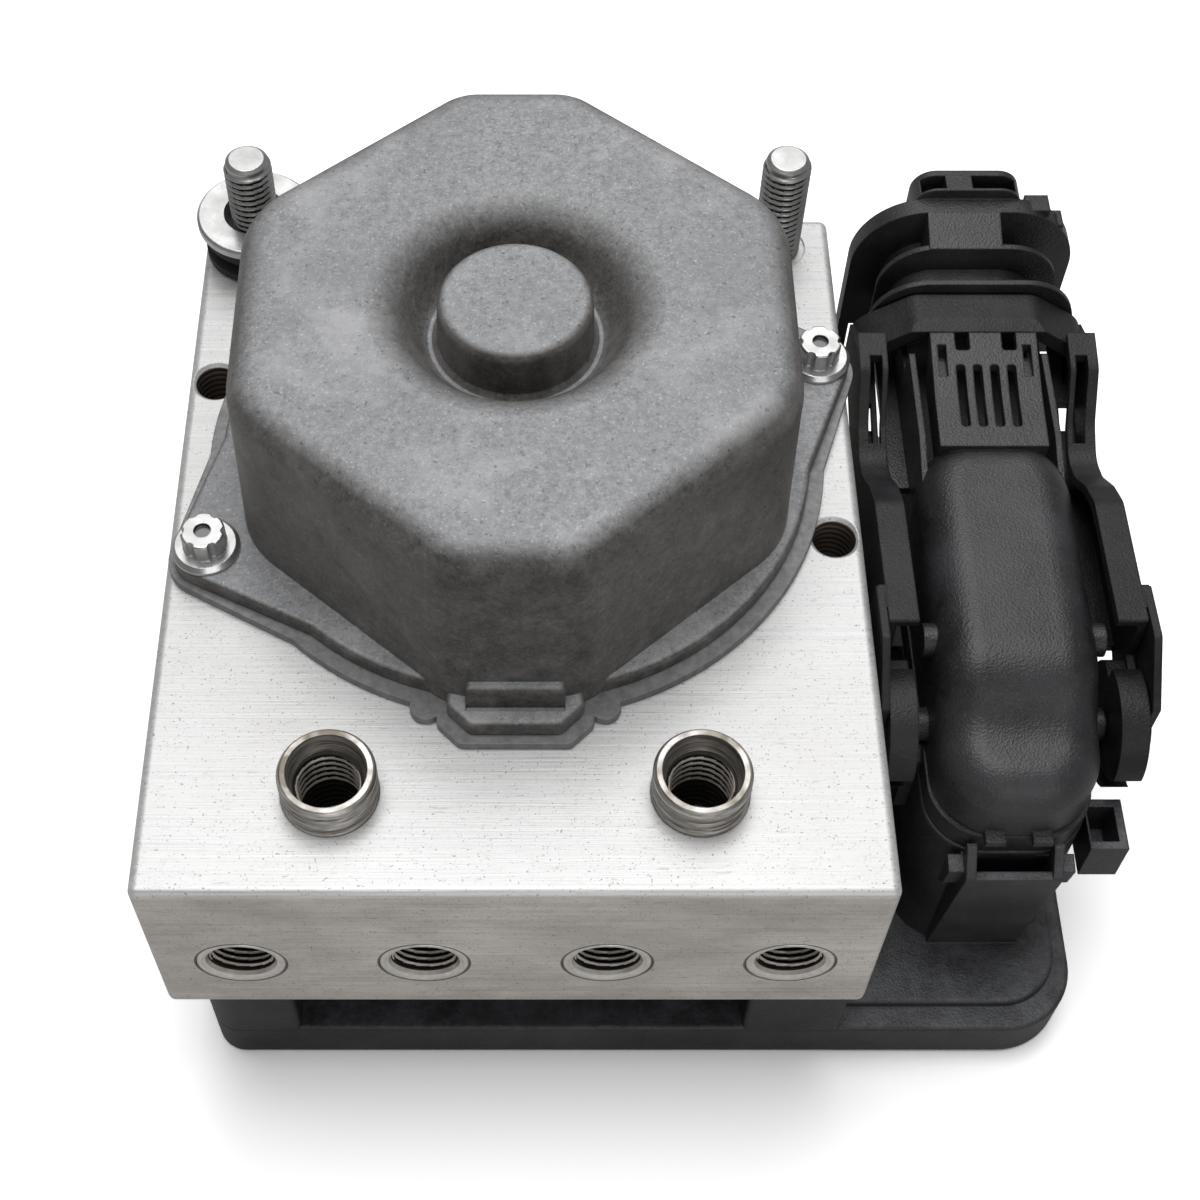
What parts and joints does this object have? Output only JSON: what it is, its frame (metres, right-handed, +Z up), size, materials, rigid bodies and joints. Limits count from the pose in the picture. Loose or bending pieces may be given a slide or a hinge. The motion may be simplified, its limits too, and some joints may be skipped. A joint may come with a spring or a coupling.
{
  "type": "abs brake module",
  "caption": "Anti-lock brake module: aluminium valve block with threaded ports, round-cornered motor cover, control unit below and a lever-locked cable plug.",
  "frame": {"origin": "on the motor axis, in the underside of the control unit", "axes": "+Z up along the motor axis; -Y out of the four wheel ports; +X towards the cable plug"},
  "size_m": [0.1514, 0.1322, 0.106],
  "materials": {
    "block_aluminium": "extruded and milled, fine lines",
    "zinc_steel": "bright zinc plated",
    "cast_cover": "die cast, matte grey",
    "plate_steel": "dull grey coating",
    "black_plastic": "fine moulded grain",
    "inner_plastic": "plain moulded",
    "black_rubber": "soft matte",
    "inner_steel": "ground",
    "ferrite": "pressed ferrite",
    "copper": "enamelled copper wire",
    "bronze": "sintered bronze",
    "carbon": "pressed carbon",
    "board_green": "solder mask",
    "tinned_pin": "tin plated"
  },
  "bodies": {
    "unit": {"hydraulic_block": "block_aluminium", "wheel_port_inserts": "zinc_steel", "master_port_sleeves": "zinc_steel", "mounting_studs": "zinc_steel", "isolator_sleeve": "zinc_steel", "isolator_rubber": "black_rubber", "motor_cover": "cast_cover", "motor_base_plate": "plate_steel", "motor_bolts": "zinc_steel", "pole_ring": "inner_steel", "field_magnets": "ferrite", "brush_plate": "inner_plastic", "carbon_brushes": "carbon", "top_bearing": "bronze", "main_bearing": "inner_steel", "motor_contacts": "tinned_pin", "pump_cylinders": "inner_steel", "pump_plugs": "block_aluminium", "pump_springs": "inner_steel", "left_accumulator_spring": "inner_steel", "right_accumulator_spring": "inner_steel", "accumulator_caps": "inner_steel", "inlet_valves": "inner_steel", "outlet_valves": "inner_steel", "valve_coils": "copper", "ecu_housing": "black_plastic", "ecu_cover": "black_plastic", "ecu_seal": "black_rubber", "circuit_board": "board_green", "header_pins": "tinned_pin", "ecu_screws": "inner_steel"},
    "rotor": {"motor_shaft": "inner_steel", "eccentric_bearing": "inner_steel", "rotor_core": "inner_steel", "rotor_windings": "copper", "commutator": "copper"},
    "left_piston": {"left_pump_piston": "inner_steel"},
    "right_piston": {"right_pump_piston": "inner_steel"},
    "left_accumulator": {"left_accumulator_piston": "inner_plastic"},
    "right_accumulator": {"right_accumulator_piston": "inner_plastic"},
    "plug": {"plug_body": "black_plastic", "plug_seal": "black_rubber", "wire_cover": "black_plastic"},
    "lever": {"lever": "black_plastic"}
  },
  "joints": [
    {"name": "rotor_spin", "type": "hinge", "parent": "unit", "child": "rotor", "pos_m": [0, 0, 0.09], "axis": [0, 0, 1], "continuous": true},
    {"name": "left_piston_slide", "type": "slide", "parent": "unit", "child": "left_piston", "axis": [-1, 0, 0], "range_m": [-0.0008, 0.0008], "stiffness_N_per_m": 500},
    {"name": "right_piston_slide", "type": "slide", "parent": "unit", "child": "right_piston", "axis": [1, 0, 0], "range_m": [-0.0008, 0.0008], "stiffness_N_per_m": 500},
    {"name": "left_accumulator_slide", "type": "slide", "parent": "unit", "child": "left_accumulator", "axis": [0, 0, -1], "range_m": [0, 0.006], "stiffness_N_per_m": 1000, "springref_m": -0.004, "deforming": ["left_accumulator_spring"]},
    {"name": "right_accumulator_slide", "type": "slide", "parent": "unit", "child": "right_accumulator", "axis": [0, 0, -1], "range_m": [0, 0.006], "stiffness_N_per_m": 1000, "springref_m": -0.004, "deforming": ["right_accumulator_spring"]},
    {"name": "plug_lift", "type": "slide", "parent": "unit", "child": "plug", "axis": [0, 0, 1], "range_m": [0, 0.006]},
    {"name": "lever_turn", "type": "hinge", "parent": "plug", "child": "lever", "pos_m": [0.076, -0.04, 0.0524], "axis": [1, 0, 0], "range_deg": [0, 75]}
  ],
  "couplings": [
    {"joint": "plug_lift", "follows": "lever_turn", "m_per_rad": 0.0045837}
  ]
}
